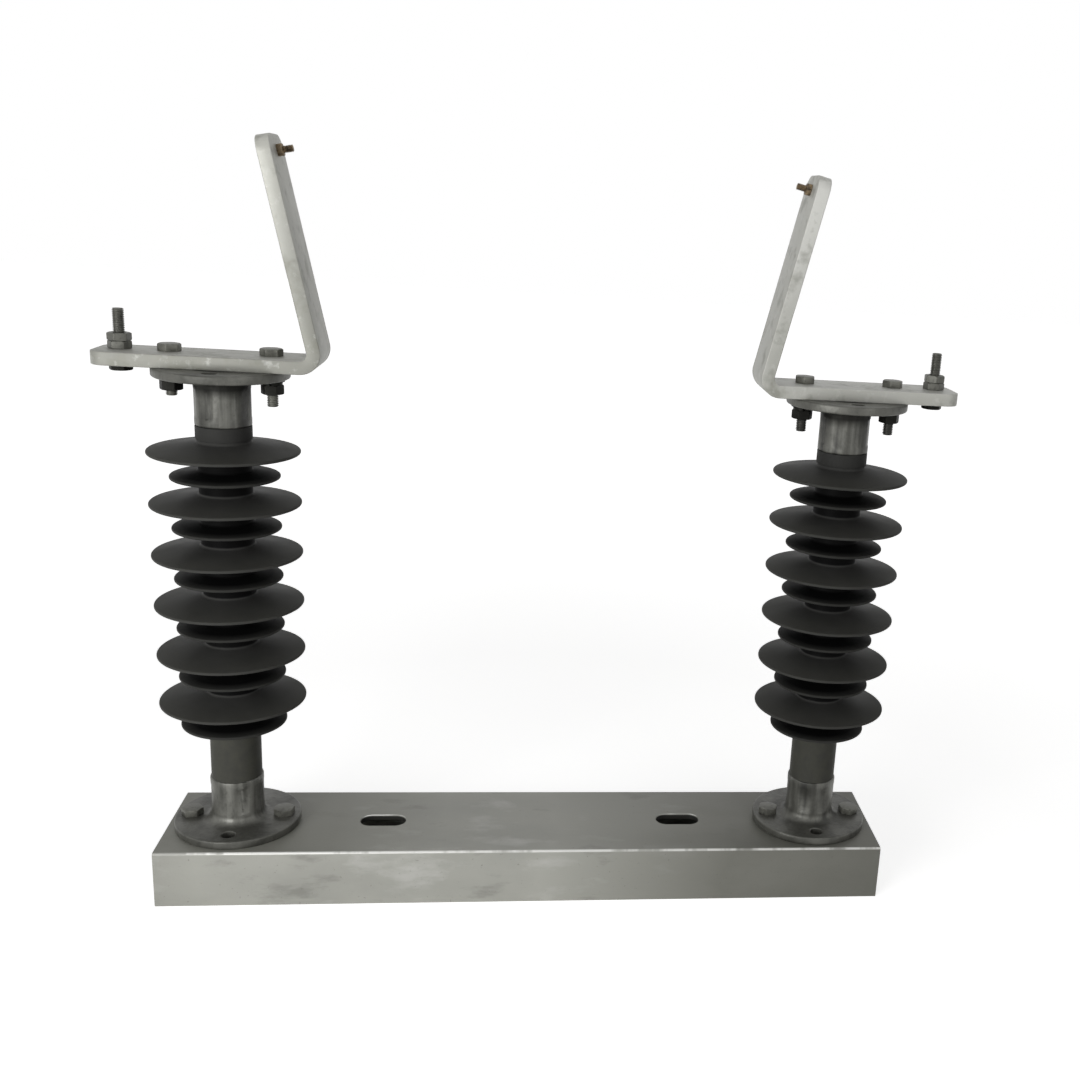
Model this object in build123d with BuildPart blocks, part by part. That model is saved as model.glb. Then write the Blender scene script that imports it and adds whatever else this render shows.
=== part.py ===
from build123d import *
from math import cos, radians, sin, tan
import os

os.makedirs("parts", exist_ok=True)

# Horn gap fuse: two polymer insulators on a steel channel, each with a bent flat bar on top.
# Millimetres. X runs along the channel, the front is -Y, and Z = 0 is the face of its toes.

# Base channel, open side down
base_length = 553.0
base_width = 100.0
base_height = 44.0
base_wall = 5.0
base_corner_radius = 2.2
base_root_radius = 3.0
slot_inset = 159.5
slot_length = 35.0
slot_width = 17.5

# Insulators: distance of each axis from the channel's end, and height from seat to seat
insulator_inset = 50.5
insulator_height = 353.0

# End fitting: a round flange with a barrel that is crimped on the rod
flange_diameter = 92.0
flange_thickness = 6.5
flange_rim_chamfer = 1.0
flange_hole_circle = 68.0
flange_hole_count = 4
barrel_diameter = 38.5
barrel_foot_radius = 5.5
barrel_mouth_chamfer = 0.8
fitting_height = 41.0
socket_floor = 9.0
crimp_count = 8
crimp_depth = 0.7
crimp_start = 13.0
crimp_length = 22.0

# Glass fibre rod inside the rubber
rod_diameter = 22.0
rod_clearance = 0.1

# Rubber housing with alternating sheds
trunk_diameter = 36.5
collar_diameter = 38.5
collar_height = 10.0
shed_count = 6
shed_pitch = 37.8
top_shed_drop = 60.0
small_shed_drop = 18.3
large_shed_diameter = 103.5
small_shed_diameter = 75.0
shed_rim_thickness = 2.2
shed_rim_radius = 1.0
shed_root_radius = 2.0
shed_root_depth = 1.0
shed_top_slope = 9.5
shed_under_slope = 1.5

# Horn bar: one flat, bent once
bar_width = 45.0
bar_thickness = 9.5
bar_corner_radius = 11.0
bend_inset = 62.5
bend_inner_radius = 5.0
horn_length = 151.0
horn_lean = 12.4

# Eight millimetre fasteners
bolt_diameter = 8.0
bolt_across_flats = 14.0
bolt_head_height = 5.3
bolt_tip_chamfer = 0.8
nut_height = 6.8
lock_nut_height = 5.5
washer_diameter = 17.0
washer_bore = 8.4
washer_thickness = 2.0
spring_washer_diameter = 14.0
spring_washer_thickness = 2.2
spring_washer_slit = 1.5
bolt_hole_diameter = 10.0
thread_clearance = 0.1
hex_chamfer_angle = 30.0
base_bolt_length = 25.0
arm_bolt_length = {"left_outer": 31.0, "left_inner": 36.0, "right_outer": 36.5, "right_inner": 36.5}

# Terminal stud outside each flange: gap from the rim to the head's flats, distance to the arm's end
terminal_gap = 13.5
terminal_inset = 15.5
terminal_bolt_length = 37.0

# Five millimetre clamp bolt near the tip of each horn
tip_bolt_inset = 11.0
tip_bolt_diameter = 5.0
tip_bolt_length = 20.0
tip_bolt_across_flats = 8.0
tip_bolt_head_height = 3.5
tip_nut_height = 4.0
tip_hole_diameter = 5.5
tip_bolt_chamfer = 0.5

# How far each hexagon is turned about its own axis, in degrees
hex_turn = {
    "left_base_bolt_outer": 8.0,
    "left_base_bolt_inner": 22.0,
    "right_base_bolt_outer": 35.0,
    "right_base_bolt_inner": 14.0,
    "left_arm_bolt_outer": 27.0,
    "left_arm_bolt_inner": 12.0,
    "right_arm_bolt_outer": 4.0,
    "right_arm_bolt_inner": 18.0,
    "left_terminal_nut": 6.0,
    "left_terminal_lock_nut": 20.0,
    "right_terminal_nut": 41.0,
    "right_terminal_lock_nut": 25.0,
}

# Levels and places worked out from the sizes above
insulator_offset = base_length / 2 - insulator_inset
slot_offset = base_length / 2 - slot_inset
top_seat = base_height + insulator_height
bar_top = top_seat + bar_thickness
bolt_offset = flange_hole_circle / 2
terminal_offset = insulator_offset + flange_diameter / 2 + terminal_gap + bolt_across_flats / 2
arm_end = terminal_offset + terminal_inset
lean = radians(horn_lean)
bolt_side = {"outer": 1, "inner": -1}
sides = {"left": -1, "right": 1}


def save(piece, name):
    """Labels a finished piece and writes it."""
    piece.part.label = name
    export_step(piece.part, f"parts/{name}.step")


def corner(sketch, x, y):
    """The corner of a sketch nearest to a point of its own plane."""
    return sketch.vertices().sort_by_distance((x, y))[0]


def side_plane(seat):
    """The plane through the axis of a seat plane, with its local Y along that axis."""
    return Plane(origin=seat.origin, x_dir=seat.x_dir, z_dir=seat.x_dir.cross(seat.z_dir))


def seat_axis(seat):
    """The axis that stands on a seat plane."""
    return Axis(seat.origin, seat.z_dir)


def make_base():
    """Steel channel with crisp outer corners, two mounting slots and four bolt holes."""
    half_width = base_width / 2
    with BuildPart() as base:
        with BuildSketch(Plane.YZ) as section:
            Rectangle(base_width, base_height, align=(Align.CENTER, Align.MIN))
            outer = [corner(section, y, base_height) for y in (-half_width, half_width)]
            fillet(outer, base_corner_radius)
            inner_width = base_width - 2 * base_wall
            inner_height = base_height - base_wall
            Rectangle(
                inner_width, inner_height, align=(Align.CENTER, Align.MIN), mode=Mode.SUBTRACT
            )
            inner = [corner(section, y, inner_height) for y in (-inner_width / 2, inner_width / 2)]
            fillet(inner, base_root_radius)
        extrude(amount=base_length / 2, both=True)
        with BuildSketch(Plane.XY.offset(base_height)):
            with Locations((-slot_offset, 0), (slot_offset, 0)):
                SlotOverall(slot_length, slot_width)
            for axis_x in (-insulator_offset, insulator_offset):
                with Locations((axis_x - bolt_offset, 0), (axis_x + bolt_offset, 0)):
                    Circle(bolt_hole_diameter / 2)
        extrude(amount=-base_wall, mode=Mode.SUBTRACT)
    save(base, "base_channel")


def make_fitting(name, seat):
    """Flanged end fitting: its seat face lies on the plane, its barrel points along the axis."""
    flange_radius = flange_diameter / 2
    barrel_radius = barrel_diameter / 2
    socket_radius = rod_diameter / 2 + rod_clearance
    with BuildPart() as fitting:
        with BuildSketch(side_plane(seat)) as profile:
            with BuildLine():
                Polyline(
                    (0, 0),
                    (flange_radius, 0),
                    (flange_radius, flange_thickness),
                    (barrel_radius, flange_thickness),
                    (barrel_radius, fitting_height),
                    (socket_radius, fitting_height),
                    (socket_radius, socket_floor),
                    (0, socket_floor),
                    close=True,
                )
            make_face()
            fillet(corner(profile, barrel_radius, flange_thickness), barrel_foot_radius)
            chamfer(corner(profile, flange_radius, flange_thickness), flange_rim_chamfer)
            chamfer(corner(profile, barrel_radius, fitting_height), barrel_mouth_chamfer)
        revolve(axis=seat_axis(seat))
        with BuildSketch(seat):
            with PolarLocations(flange_hole_circle / 2, flange_hole_count):
                Circle(bolt_hole_diameter / 2)
        extrude(amount=flange_thickness, mode=Mode.SUBTRACT)
        with BuildSketch(seat.offset(crimp_start)):
            Circle(barrel_radius + crimp_depth)
            RegularPolygon(
                barrel_radius - crimp_depth,
                crimp_count,
                major_radius=False,
                rotation=180 / crimp_count,
                mode=Mode.SUBTRACT,
            )
        extrude(amount=crimp_length, mode=Mode.SUBTRACT)
    save(fitting, name)


def make_rod(name, foot):
    """Glass fibre rod, seated on the floors of both sockets."""
    with BuildPart() as rod:
        with BuildSketch(foot.offset(socket_floor)):
            Circle(rod_diameter / 2)
        extrude(amount=insulator_height - 2 * socket_floor)
    save(rod, name)


def shed_outline(radius, rim_level):
    """Corners of one shed: its upper side falls outwards, its underside less so."""
    root = trunk_diameter / 2 - shed_root_depth
    half_rim = shed_rim_thickness / 2
    top_rise = (radius - root) * tan(radians(shed_top_slope))
    under_rise = (radius - root) * tan(radians(shed_under_slope))
    return [
        (root, rim_level - half_rim + under_rise),
        (radius, rim_level - half_rim),
        (radius, rim_level + half_rim),
        (root, rim_level + half_rim + top_rise),
    ]


def make_housing(name, foot):
    """Silicone rubber housing: a trunk with large and small sheds in turn."""
    bottom = fitting_height
    top = insulator_height - fitting_height
    trunk_radius = trunk_diameter / 2
    collar_radius = collar_diameter / 2
    bore_radius = rod_diameter / 2 + rod_clearance
    rim_start = small_shed_diameter / 2 - shed_rim_radius
    with BuildPart() as housing:
        with BuildSketch(side_plane(foot)) as section:
            with Locations((0, bottom)):
                Rectangle(trunk_radius, top - bottom, align=(Align.MIN, Align.MIN))
            with Locations((0, top)):
                Rectangle(collar_radius, collar_height, align=(Align.MIN, Align.MAX))
            for number in range(shed_count):
                rim = insulator_height - top_shed_drop - number * shed_pitch
                with BuildLine():
                    Polyline(*shed_outline(large_shed_diameter / 2, rim), close=True)
                make_face()
                with BuildLine():
                    Polyline(
                        *shed_outline(small_shed_diameter / 2, rim - small_shed_drop), close=True
                    )
                make_face()
            with Locations((0, bottom)):
                Rectangle(
                    bore_radius, top - bottom, align=(Align.MIN, Align.MIN), mode=Mode.SUBTRACT
                )
            between_ends = [
                point
                for point in section.vertices()
                if bottom + shed_root_radius < point.Y < top - shed_root_radius
            ]
            fillet([point for point in between_ends if point.X > rim_start], shed_rim_radius)
            fillet([point for point in between_ends if point.X < rim_start], shed_root_radius)
        revolve(axis=seat_axis(foot))
    save(housing, name)


def horn_point(side, along, through):
    """A point of the horn: how far up it from the bend's inner corner, how far into the bar."""
    x = insulator_offset - bend_inset + along * sin(lean) - through * cos(lean)
    z = bar_top + along * cos(lean) + through * sin(lean)
    return side * x, z


def make_horn_bar(name, side):
    """Flat aluminium bar: the arm lies on the fitting, and the horn leans outwards from it."""
    bend_x = insulator_offset - bend_inset
    heel_x = bend_x - bar_thickness * (cos(lean) + tan(lean) * (1 + sin(lean)))
    with BuildPart() as bar:
        with BuildSketch(Plane.XZ.offset(bar_width / 2)) as outline:
            with BuildLine():
                Polyline(
                    (side * arm_end, top_seat),
                    (side * heel_x, top_seat),
                    horn_point(side, horn_length, bar_thickness),
                    horn_point(side, horn_length, 0),
                    (side * bend_x, bar_top),
                    (side * arm_end, bar_top),
                    close=True,
                )
            make_face()
            fillet(corner(outline, side * heel_x, top_seat), bend_inner_radius + bar_thickness)
            fillet(corner(outline, side * bend_x, bar_top), bend_inner_radius)
        extrude(amount=-bar_width)
        end_edges = bar.edges().filter_by(GeomType.LINE).group_by(Edge.length)[0]
        fillet(end_edges, bar_corner_radius)
        with BuildSketch(Plane.XY.offset(top_seat)):
            arm_holes = (
                insulator_offset - bolt_offset,
                insulator_offset + bolt_offset,
                terminal_offset,
            )
            with Locations(*[(side * x, 0) for x in arm_holes]):
                Circle(bolt_hole_diameter / 2)
        extrude(amount=bar_thickness, mode=Mode.SUBTRACT)
        with BuildSketch(clamp_seat(side)):
            Circle(tip_hole_diameter / 2)
        extrude(amount=-bar_thickness, mode=Mode.SUBTRACT)
    save(bar, name)


def clamp_seat(side):
    """Plane on the outer face of the horn at its clamp bolt, facing away from the gap."""
    x, z = horn_point(side, horn_length - tip_bolt_inset, 0)
    return Plane(origin=(x, 0, z), x_dir=(0, 1, 0), z_dir=(side * cos(lean), 0, -sin(lean)))


def hexagon(seat, across_flats, height, turn, both_ends):
    """Hexagonal head or nut blank, with the corners of one or both ends turned off."""
    flat_radius = across_flats / 2
    corner_radius = flat_radius / cos(radians(30))
    drop = (corner_radius - flat_radius) * tan(radians(hex_chamfer_angle))
    outline = [(corner_radius, height - drop), (flat_radius, height), (0, height), (0, 0)]
    if both_ends:
        outline += [(flat_radius, 0), (corner_radius, drop)]
    else:
        outline += [(corner_radius, 0)]
    with BuildPart() as blank:
        with BuildSketch(seat):
            RegularPolygon(flat_radius, 6, major_radius=False, rotation=turn)
        extrude(amount=height)
        with BuildSketch(side_plane(seat)):
            with BuildLine():
                Polyline(*outline, close=True)
            make_face()
        revolve(axis=seat_axis(seat), mode=Mode.INTERSECT)
    return blank.part


def make_bolt(name, seat, diameter, length, across_flats, head_height, tip_chamfer):
    """Hexagon bolt: the head stands on the seat plane, the shank runs the other way."""
    radius = diameter / 2
    head = hexagon(seat, across_flats, head_height, hex_turn.get(name, 0), both_ends=False)
    with BuildPart() as bolt:
        add(head)
        with BuildSketch(side_plane(seat)):
            with BuildLine():
                Polyline(
                    (0, 0),
                    (radius, 0),
                    (radius, tip_chamfer - length),
                    (radius - tip_chamfer, -length),
                    (0, -length),
                    close=True,
                )
            make_face()
        revolve(axis=seat_axis(seat))
    save(bolt, name)


def make_nut(name, seat, diameter, across_flats, height):
    """Hexagon nut standing on the seat plane."""
    blank = hexagon(seat, across_flats, height, hex_turn.get(name, 0), both_ends=True)
    with BuildPart() as nut:
        add(blank)
        with BuildSketch(seat):
            Circle(diameter / 2 + thread_clearance)
        extrude(amount=height, mode=Mode.SUBTRACT)
    save(nut, name)


def facing_down(x, z):
    """Seat plane at a point of the middle plane, facing down."""
    return Plane(origin=(x, 0, z), x_dir=(1, 0, 0), z_dir=(0, 0, -1))


def facing_up(x, z):
    """Seat plane at a point of the middle plane, facing up."""
    return Plane(origin=(x, 0, z), x_dir=(1, 0, 0), z_dir=(0, 0, 1))


def make_washers(name, places, level, diameter, thickness, slit_width=0):
    """Washers that hang down from a level; a spring washer's slit points to the front."""
    radius = diameter / 2
    with BuildPart() as washers:
        with BuildSketch(Plane.XY.offset(level)):
            with Locations(*places):
                Circle(radius)
                Circle(washer_bore / 2, mode=Mode.SUBTRACT)
            if slit_width:
                with Locations(*[(x, y - radius / 2) for x, y in places]):
                    Rectangle(slit_width, radius, mode=Mode.SUBTRACT)
        extrude(amount=-thickness)
    save(washers, name)


def make_flange_bolts(side_name, side):
    """The bolts that hold the insulator on the base and the bar on the insulator."""
    web_underside = base_height - base_wall
    flange_underside = top_seat - flange_thickness
    arm_nut_level = flange_underside - washer_thickness - spring_washer_thickness
    washer_places = []
    for place, direction in bolt_side.items():
        x = side * (insulator_offset + direction * bolt_offset)
        head_seat = facing_up(x, base_height + flange_thickness)
        make_bolt(
            f"{side_name}_base_bolt_{place}",
            head_seat,
            bolt_diameter,
            base_bolt_length,
            bolt_across_flats,
            bolt_head_height,
            bolt_tip_chamfer,
        )
        nut_seat = facing_down(x, web_underside - washer_thickness)
        make_nut(
            f"{side_name}_base_nut_{place}", nut_seat, bolt_diameter, bolt_across_flats, nut_height
        )
        make_bolt(
            f"{side_name}_arm_bolt_{place}",
            facing_up(x, bar_top),
            bolt_diameter,
            arm_bolt_length[f"{side_name}_{place}"],
            bolt_across_flats,
            bolt_head_height,
            bolt_tip_chamfer,
        )
        make_nut(
            f"{side_name}_arm_nut_{place}",
            facing_down(x, arm_nut_level),
            bolt_diameter,
            bolt_across_flats,
            nut_height,
        )
        washer_places.append((x, 0))
    for ending, level in (("base_washers", web_underside), ("arm_washers", flange_underside)):
        make_washers(
            f"{side_name}_{ending}", washer_places, level, washer_diameter, washer_thickness
        )
    make_washers(
        f"{side_name}_arm_spring_washers",
        washer_places,
        flange_underside - washer_thickness,
        spring_washer_diameter,
        spring_washer_thickness,
        spring_washer_slit,
    )


def make_terminal(side_name, side):
    """Stud at the arm's outer end: a bolt from below, with a nut and a lock nut."""
    x = side * terminal_offset
    make_bolt(
        f"{side_name}_terminal_bolt",
        facing_down(x, top_seat),
        bolt_diameter,
        terminal_bolt_length,
        bolt_across_flats,
        bolt_head_height,
        bolt_tip_chamfer,
    )
    nut_names = (f"{side_name}_terminal_nut", f"{side_name}_terminal_lock_nut")
    for number, nut_name in enumerate(nut_names):
        nut_level = bar_top + number * lock_nut_height
        make_nut(
            nut_name, facing_up(x, nut_level), bolt_diameter, bolt_across_flats, lock_nut_height
        )


def make_fuse_clamp(side_name, side):
    """Small bolt and nut through the horn near its tip, where the fuse wire is held."""
    outer_seat = clamp_seat(side)
    make_bolt(
        f"{side_name}_tip_bolt",
        outer_seat,
        tip_bolt_diameter,
        tip_bolt_length,
        tip_bolt_across_flats,
        tip_bolt_head_height,
        tip_bolt_chamfer,
    )
    face = outer_seat.offset(-bar_thickness)
    gap_seat = Plane(origin=face.origin, x_dir=face.x_dir, z_dir=-face.z_dir)
    make_nut(
        f"{side_name}_tip_nut", gap_seat, tip_bolt_diameter, tip_bolt_across_flats, tip_nut_height
    )


make_base()
for side_name, side in sides.items():
    foot = facing_up(side * insulator_offset, base_height)
    make_fitting(f"{side_name}_lower_fitting", foot)
    make_rod(f"{side_name}_core_rod", foot)
    make_housing(f"{side_name}_insulator_housing", foot)
    make_fitting(f"{side_name}_upper_fitting", facing_down(side * insulator_offset, top_seat))
    make_horn_bar(f"{side_name}_horn_bar", side)
    make_flange_bolts(side_name, side)
    make_terminal(side_name, side)
    make_fuse_clamp(side_name, side)
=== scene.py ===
from math import atan2, ceil, cos, pi, radians, sin, tan

import bmesh
import bpy
from mathutils import Matrix, Vector


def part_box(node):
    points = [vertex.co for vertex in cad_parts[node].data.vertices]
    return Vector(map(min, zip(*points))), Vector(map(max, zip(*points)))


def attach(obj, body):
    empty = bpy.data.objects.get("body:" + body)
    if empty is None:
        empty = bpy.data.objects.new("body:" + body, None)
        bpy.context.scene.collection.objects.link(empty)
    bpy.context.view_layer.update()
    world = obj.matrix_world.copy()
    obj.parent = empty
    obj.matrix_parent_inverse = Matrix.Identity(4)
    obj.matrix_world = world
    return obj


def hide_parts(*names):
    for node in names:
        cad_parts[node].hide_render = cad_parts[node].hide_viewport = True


bl_info = {
    "name": "Horn Gap Fuse Dresser",
    "version": (1, 0, 0),
    "blender": (4, 5, 0),
    "location": "View3D > Sidebar > Horn Gap Fuse",
    "description": "Models and finishes the pieces of a horn gap fuse on its packed frame",
    "category": "Object",
}

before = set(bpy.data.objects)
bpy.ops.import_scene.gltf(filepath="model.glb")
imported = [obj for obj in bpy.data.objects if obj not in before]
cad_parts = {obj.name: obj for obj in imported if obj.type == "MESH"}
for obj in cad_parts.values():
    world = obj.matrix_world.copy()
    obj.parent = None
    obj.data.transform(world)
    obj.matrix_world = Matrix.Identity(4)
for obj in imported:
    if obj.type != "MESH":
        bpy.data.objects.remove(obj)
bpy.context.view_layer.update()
MM = 0.001
JOIN = 0.005 * MM
ROUND_STEPS = 96
HOLE_STEPS = 30
THREAD_STEPS = 24
BEND_STEPS = 14
SMOOTH_BELOW = radians(32)
SHARP = radians(50)
SPARE = 0.1 * MM
COLLAR_ROUNDING = 0.6 * MM
OVER = Matrix.Rotation(pi, 4, "X")
SIDES = {"left": -1, "right": 1}
PLACES = ("outer", "inner")
WHITE = (1, 1, 1, 1)


def middle_of(node):
    """Middle of a node's box."""
    low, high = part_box(node)
    return (low + high) / 2


def height_of(node):
    """Height of a node's box."""
    low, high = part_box(node)
    return high.z - low.z


AXIS_X = middle_of("right_core_rod").x


# Settings


def number(name, description, value, **options):
    """Property for a number."""
    return bpy.props.FloatProperty(name=name, description=description, default=value, **options)


def length(name, description, millimetres):
    """Property for a length whose default is given in millimetres."""
    return number(name, description, millimetres * MM, unit="LENGTH", precision=4)


def slope(name, description, degrees):
    """Property for an angle whose default is given in degrees."""
    return number(name, description, radians(degrees), subtype="ANGLE")


def vector(name, description, value, **options):
    """Property for two or more numbers."""
    return bpy.props.FloatVectorProperty(
        name=name, description=description, default=value, size=len(value), **options
    )


class ChannelSettings(bpy.types.PropertyGroup):
    """Steel base channel."""

    wall: length("Wall", "Thickness of the channel's web and legs", 5.0)
    corner_radius: length("Corner radius", "Rounding of the two long outer corners", 2.2)
    root_radius: length("Root radius", "Rounding of the two long inner corners", 3.0)
    edge_rounding: length("Edge rounding", "Rounding of the sawn edges", 0.6)
    hole: length("Bolt hole", "Diameter of the holes for the flange bolts", 10.0)
    slot_length: length("Slot length", "Overall length of a mounting slot", 35.0)
    slot_width: length("Slot width", "Width of a mounting slot", 17.5)
    slot_offset: length("Slot offset", "Distance of each slot from the channel's middle", 117.0)


class FittingSettings(bpy.types.PropertyGroup):
    """Flanged end fitting, crimped on the rod."""

    flange_thickness: length("Flange thickness", "Thickness of the round flange", 6.5)
    rim_rounding: length("Rim rounding", "Rounding of the flange's rim", 1.3)
    hole: length("Bolt hole", "Diameter of the flange's holes", 10.0)
    hole_circle: length("Hole circle", "Diameter of the circle of holes", 68.0)
    barrel: length("Barrel", "Diameter of the barrel", 38.5)
    foot_radius: length("Foot radius", "Hollow fillet at the barrel's foot", 6.2)
    mouth_rounding: length("Mouth rounding", "Rounding of the barrel's mouth", 1.2)
    socket: length("Socket", "Diameter of the socket for the rod", 22.2)
    socket_floor: length("Socket floor", "Thickness under the socket", 9.0)
    crimp_start: length("Crimp start", "Level where the crimps begin", 15.0)
    crimp_length: length("Crimp length", "Height of the crimped zone", 20.0)
    crimp_depth: length("Crimp depth", "How deep the press flattened the barrel", 0.8)
    crimp_count: bpy.props.IntProperty(
        name="Crimps", description="Number of press marks round the barrel", default=8
    )


class HousingSettings(bpy.types.PropertyGroup):
    """Silicone rubber housing with its sheds."""

    trunk: length("Trunk", "Diameter of the trunk", 36.5)
    collar: length("Collar", "Diameter of the collar under the upper fitting", 38.5)
    collar_height: length("Collar height", "Height of that collar", 10.0)
    bore: length("Bore", "Diameter of the bore for the rod", 22.2)
    large_shed: length("Large shed", "Diameter of the large sheds", 103.5)
    small_shed: length("Small shed", "Diameter of the small sheds", 75.0)
    first_drop: length("First drop", "From the housing's top to the rim of the first shed", 19.0)
    pitch: length("Pitch", "Distance from one large shed to the next", 37.8)
    small_drop: length("Small drop", "From a large shed down to its small one", 18.3)
    rim_thickness: length("Rim thickness", "Thickness of a shed at its rim", 2.2)
    rim_rounding: length("Rim rounding", "Rounding of the rims", 1.0)
    root_rounding: length("Root rounding", "Fillet where a shed leaves the trunk", 2.0)
    top_slope: slope("Top slope", "How steeply a shed's upper side falls outwards", 9.5)
    under_slope: slope("Under slope", "How steeply a shed's underside falls outwards", 1.5)
    shed_count: bpy.props.IntProperty(
        name="Shed pairs", description="Number of large sheds, each with a small one", default=6
    )


class BarSettings(bpy.types.PropertyGroup):
    """Flat bar bent into an arm and a horn."""

    bend_inset: length("Bend inset", "From the insulator's axis to the bend's inner corner", 62.5)
    bend_radius: length("Bend radius", "Inner radius of the bend", 5.0)
    horn_length: length("Horn length", "From the bend's inner corner to the tip", 151.0)
    horn_lean: slope("Horn lean", "How far each horn leans outwards", 12.4)
    corner_radius: length("Corner radius", "Radius of the four rounded corners", 11.0)
    edge_rounding: length("Edge rounding", "Rounding of the long edges", 0.7)
    hole: length("Arm hole", "Diameter of the holes in the arm", 10.0)
    clamp_inset: length("Clamp inset", "From the tip to the clamp bolt", 11.0)
    clamp_hole: length("Clamp hole", "Diameter of the hole for the clamp bolt", 5.5)


class FastenerSettings(bpy.types.PropertyGroup):
    """Eight millimetre bolts and nuts, and the five millimetre ones of the clamps."""

    diameter: length("Bolt", "Thread diameter of the bolts", 8.0)
    pitch: length("Pitch", "Thread pitch of the bolts", 1.25)
    across_flats: length("Across flats", "Width of heads and nuts", 14.0)
    head: length("Head height", "Height of the bolt heads", 5.3)
    tip: length("Tip chamfer", "Chamfer at the end of a bolt", 0.8)
    clamp_diameter: length("Clamp bolt", "Thread diameter of the clamp bolts", 5.0)
    clamp_pitch: length("Clamp pitch", "Thread pitch of the clamp bolts", 0.8)
    clamp_across_flats: length("Clamp across flats", "Width of the clamp's head and nut", 8.0)
    clamp_head: length("Clamp head", "Height of the clamp bolt's head", 3.5)
    clamp_length: length("Clamp length", "Length of the clamp bolt", 20.0)
    clamp_nut: length("Clamp nut", "Height of the clamp's nut", 4.0)
    clamp_tip: length("Clamp tip", "Chamfer at the clamp bolt's end", 0.5)
    bore_play: length("Bore play", "Radial play between thread and nut", 0.1)
    edge: length("Hexagon edge", "Rounding of the hexagons' edges", 0.35)
    chamfer: slope("Hexagon chamfer", "Angle at which the corners are turned off", 30.0)


class StageSettings(bpy.types.PropertyGroup):
    """Camera, floor and lights."""

    camera_place: vector(
        "Camera place", "Where the photograph was taken from", (-0.00639, -0.9191, 0.53082),
        subtype="XYZ", unit="LENGTH",
    )
    camera_turn: vector(
        "Camera turn", "How the camera is turned",
        (radians(74.406), radians(-4.004), radians(-8.129)), subtype="EULER", unit="ROTATION",
    )
    lens: number("Lens", "Focal length in millimetres", 41.567)
    shift: vector("Shift", "How far off the lens's axis the photo was framed", (-0.17413, 0.01233))
    floor_colour: vector(
        "Floor colour", "Colour of the plain floor", (0.86, 0.86, 0.85, 1.0), subtype="COLOR"
    )
    front_power: number("Front light", "Power of the low light at the front left", 9.0)
    top_power: number("Top light", "Power of the large light overhead", 2.6)
    side_power: number("Side light", "Power of the weak light at the front right", 2.6)
    sky_level: number("Sky", "Brightness of the even light from all round", 0.04)


# Finishes


# Ranges over which a finish changes; levels and radii in metres
MOST = (0.3, 0.7)
TO_THE_RIGHT = (0.1, 0.15)
ONTO_THE_BARREL = (0.0225, 0.02)
INTO_THE_WAIST = (0.028, 0.026)
UP_TO_THE_FLANGE = (0.376, 0.383)
UP_TO_THE_NUTS = (0.378, 0.3795)
DOWN_TO_THE_WASHERS = (0.3975, 0.3965)
DOWN_TO_THE_STUBS = (0.381, 0.379)
INTO_THE_NECK = (0.13, 0.122)


class Graph:
    """Nodes of a material or a world, added one after another."""

    def __init__(self, owner):
        owner.use_nodes = True
        self.nodes = owner.node_tree.nodes
        self.links = owner.node_tree.links

    def fill(self, socket, value):
        """Links or sets one socket."""
        if isinstance(value, bpy.types.NodeSocket):
            self.links.new(value, socket)
        else:
            socket.default_value = value

    def add(self, kind, settings=None, **inputs):
        """Adds a node; inputs are given by name, as values or as sockets to link."""
        node = self.nodes.new(kind)
        for key, value in (settings or {}).items():
            setattr(node, key, value)
        for key, value in inputs.items():
            self.fill(node.inputs[key.replace("_", " ")], value)
        return node

    def math(self, operation, first, second=0.0):
        """One sum on two numbers."""
        node = self.add("ShaderNodeMath", {"operation": operation})
        self.fill(node.inputs[0], first)
        self.fill(node.inputs[1], second)
        return node.outputs[0]

    def times(self, product, *factors):
        """Product of several numbers."""
        for factor in factors:
            product = self.math("MULTIPLY", product, factor)
        return product

    def spread(self, value, low, high, to_low=0.0, to_high=1.0):
        """Maps a range of values to another."""
        ends = {"From_Min": low, "From_Max": high, "To_Min": to_low, "To_Max": to_high}
        return self.add("ShaderNodeMapRange", Value=value, **ends).outputs["Result"]

    def seen(self):
        """One where the camera looks, straight, mirrored or through glass, and else nought."""
        ray = self.add("ShaderNodeLightPath").outputs
        straight = self.math("MAXIMUM", ray["Is Camera Ray"], ray["Is Glossy Ray"])
        return self.math("MAXIMUM", straight, ray["Is Transmission Ray"])


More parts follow.
